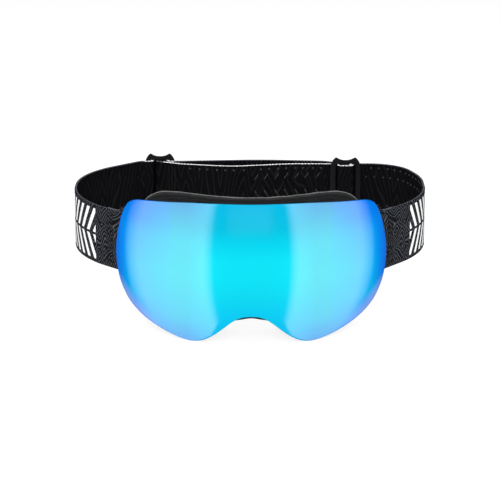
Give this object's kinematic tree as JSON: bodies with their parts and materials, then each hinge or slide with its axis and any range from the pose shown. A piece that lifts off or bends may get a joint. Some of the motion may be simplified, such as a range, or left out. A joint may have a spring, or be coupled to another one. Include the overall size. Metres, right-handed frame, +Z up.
{
  "type": "ski goggles",
  "caption": "Ski goggles with a frameless toric mirror lens on a magnetic carrier, layered face foam, swivelling strap arms and an elastic strap with sliders.",
  "frame": {"origin": "middle of the brow contact of the face foam, at the middle of the lens height", "axes": "+X to the right of someone facing the lens, +Y from the lens towards the back of the head, +Z up"},
  "size_m": [0.2436, 0.2226, 0.0939],
  "materials": {
    "mirror_lens": "mirror coated toric lens, cyan in the middle and deep blue at the edges",
    "clear_lens": "clear anti-fog sheet",
    "gasket_foam": "black closed-cell foam",
    "carrier_plastic": "black moulded nylon, fine texture",
    "magnet_metal": "nickel plated magnet",
    "soft_frame": "black soft polyurethane, satin",
    "vent_foam": "open-cell filter foam",
    "firm_foam": "firm charcoal foam",
    "soft_foam": "soft charcoal foam",
    "fleece": "grey brushed fleece",
    "arm_plastic": "black moulded nylon",
    "pin_steel": "plain steel",
    "strap_webbing": "charcoal elastic webbing with woven contour lines",
    "slider_plastic": "black acetal, satin",
    "thread": "dark polyester thread"
  },
  "bodies": {
    "frame": {"main_frame": "soft_frame", "frame_magnets": "magnet_metal", "top_vent_foam": "vent_foam", "left_vent_foam": "vent_foam", "right_vent_foam": "vent_foam", "face_flange": "carrier_plastic", "firm_face_foam": "firm_foam", "soft_face_foam": "soft_foam", "face_fleece": "fleece", "left_arm_pin": "pin_steel", "right_arm_pin": "pin_steel", "left_strap": "strap_webbing", "right_strap": "strap_webbing", "left_arm_stitching": "thread", "right_arm_stitching": "thread"},
    "lens_unit": {"outer_lens": "mirror_lens", "lens_gasket": "gasket_foam", "inner_lens": "clear_lens", "lens_carrier": "carrier_plastic", "lens_magnets": "magnet_metal"},
    "arm_left": {"left_arm": "arm_plastic"},
    "arm_right": {"right_arm": "arm_plastic"},
    "slider_left": {"left_slider": "slider_plastic", "left_slider_stitching": "thread"},
    "slider_right": {"right_slider": "slider_plastic", "right_slider_stitching": "thread"}
  },
  "joints": [
    {"name": "lens_release", "type": "slide", "parent": "frame", "child": "lens_unit", "axis": [0, -1, 0], "range_m": [0, 0.06]},
    {"name": "arm_left_swivel", "type": "hinge", "parent": "frame", "child": "arm_left", "pos_m": [-0.0802, 0.0109, 0.0108], "axis": [0, 0, 1], "range_deg": [-20, 6], "deforming": ["left_strap"]},
    {"name": "arm_right_swivel", "type": "hinge", "parent": "frame", "child": "arm_right", "pos_m": [0.0802, 0.0109, 0.0108], "axis": [0, 0, -1], "range_deg": [-20, 6], "deforming": ["right_strap"]},
    {"name": "slider_left_travel", "type": "slide", "parent": "frame", "child": "slider_left", "axis": [1, 0, 0], "range_m": [0, 0.03], "deforming": ["left_strap", "right_strap"]},
    {"name": "slider_right_travel", "type": "slide", "parent": "frame", "child": "slider_right", "axis": [-1, 0, 0], "range_m": [0, 0.03], "deforming": ["left_strap", "right_strap"]}
  ]
}
